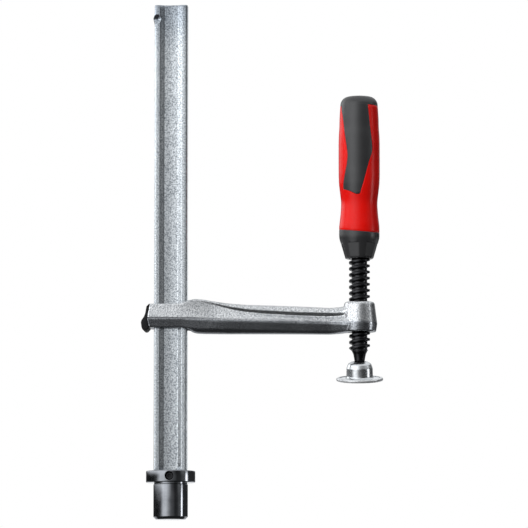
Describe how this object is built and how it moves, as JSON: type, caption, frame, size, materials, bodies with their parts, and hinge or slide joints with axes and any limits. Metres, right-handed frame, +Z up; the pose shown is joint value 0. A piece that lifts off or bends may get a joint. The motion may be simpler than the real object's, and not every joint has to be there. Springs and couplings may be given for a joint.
{
  "type": "table clamp",
  "caption": "F clamp standing on a stepped bolt that drops into a welding table's hole, with a sliding arm, a threaded spindle, a two-part grip and a swivelling pressure pad.",
  "frame": {"origin": "on the bolt's axis, at the underside of its collar, which is the table's surface when the clamp is in use", "axes": "+Z up along the rail, +X from the rail to the spindle, +Y towards the back of the clamp"},
  "size_m": [0.1962, 0.0403, 0.4208],
  "materials": {
    "galvanised_rail": "zinc plated, satin, finely speckled",
    "galvanised_forging": "forged and zinc plated, bright and grainy",
    "bright_zinc": "bright zinc plate",
    "black_oxide": "black oxide, oiled, semi-gloss",
    "spring_steel": "hardened, ground",
    "guard_plastic": "moulded, matte",
    "red_plastic": "moulded, satin",
    "dark_grip": "soft moulded grip, fine grain"
  },
  "bodies": {
    "stand": {"rail": "galvanised_rail", "bolt": "black_oxide", "bolt_grub_screw": "black_oxide"},
    "arm": {"sliding_arm": "galvanised_forging", "slip_guard": "guard_plastic", "brake_shoe": "spring_steel", "brake_spring": "spring_steel"},
    "thrust_seat": {"ball_seat": "spring_steel"},
    "spindle": {"spindle": "black_oxide", "handle_core": "red_plastic", "handle_grip": "dark_grip", "handle_collar": "dark_grip"},
    "swivel": {"ball_ring": "spring_steel"},
    "pad": {"pad_cap": "bright_zinc", "pad_plate": "bright_zinc"}
  },
  "joints": [
    {"name": "arm_slide", "type": "slide", "parent": "stand", "child": "arm", "axis": [0, 0, 1], "range_m": [-0.111, 0.228]},
    {"name": "screw_travel", "type": "slide", "parent": "arm", "child": "thrust_seat", "axis": [0, 0, 1], "range_m": [-0.0341, 0.0221]},
    {"name": "screw_turn", "type": "hinge", "parent": "thrust_seat", "child": "spindle", "pos_m": [0.1535, 0, 0.0919], "axis": [0, 0, 1], "range_deg": [-2448, 1584]},
    {"name": "pad_turn", "type": "hinge", "parent": "thrust_seat", "child": "swivel", "pos_m": [0.1535, 0, 0.0919], "axis": [0, 0, 1], "continuous": true},
    {"name": "pad_tilt", "type": "hinge", "parent": "swivel", "child": "pad", "pos_m": [0.1535, 0, 0.0919], "axis": [1, 0, 0], "range_deg": [-28, 6]}
  ],
  "couplings": [
    {"joint": "screw_travel", "follows": "screw_turn", "m_per_rad": 0.00079577}
  ]
}
